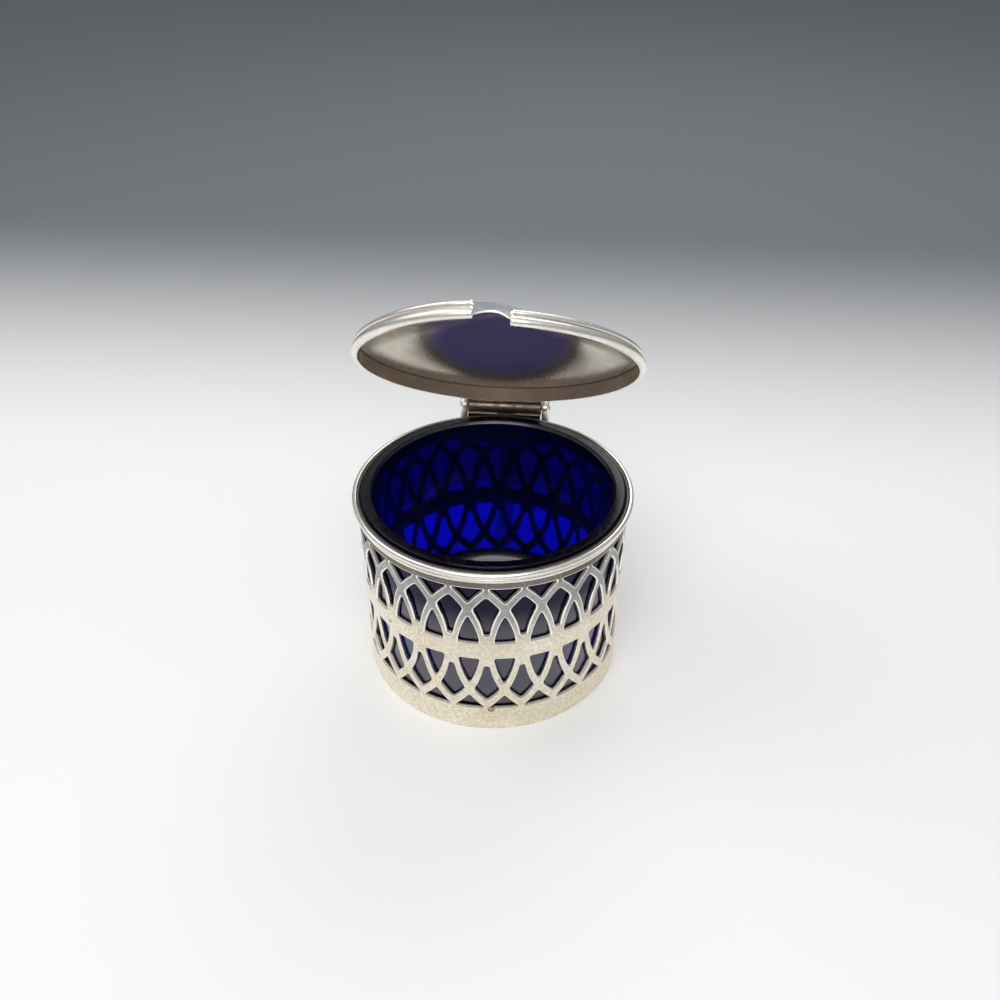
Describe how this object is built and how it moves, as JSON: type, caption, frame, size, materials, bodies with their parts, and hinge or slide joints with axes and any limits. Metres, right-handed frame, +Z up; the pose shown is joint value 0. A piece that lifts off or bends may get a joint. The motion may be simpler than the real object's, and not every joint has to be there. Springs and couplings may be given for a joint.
{
  "type": "mustard pot",
  "caption": "Drum-shaped mustard pot of pierced silver with a blue glass liner, a hinged domed lid with a spoon notch, and a loop handle.",
  "frame": {"origin": "centre of the flat base, on the surface the pot stands on", "axes": "+Z up, +Y from the drum's axis towards the hinge and the handle, +X to the right seen from the spoon notch"},
  "size_m": [0.06, 0.0776, 0.09],
  "materials": {
    "drum_silver": "old silver sheet, satin from handling, warm",
    "moulding_silver": "drawn silver moulding, bright with dark lines in the grooves",
    "lid_silver": "old silver sheet, bright outside and tarnished brown inside",
    "hinge_silver": "silver, tarnished in the joints",
    "cobalt_glass": "deep blue glass with a ground rim"
  },
  "bodies": {
    "body": {"drum_wall": "drum_silver", "base_plate": "drum_silver", "rim_moulding": "moulding_silver", "glass_liner": "cobalt_glass", "handle": "drum_silver", "hinge_seat": "hinge_silver", "body_knuckle_left": "hinge_silver", "body_knuckle_right": "hinge_silver", "hinge_pin": "hinge_silver"},
    "lid": {"lid_ring": "moulding_silver", "lid_dome": "lid_silver", "lid_leaf": "hinge_silver", "lid_knuckle": "hinge_silver", "thumbpiece": "lid_silver"}
  },
  "joints": [
    {"name": "lid_hinge", "type": "hinge", "parent": "body", "child": "lid", "pos_m": [0, 0.033, 0.0444], "axis": [-1, 0, 0], "range_deg": [-44, 56]}
  ]
}
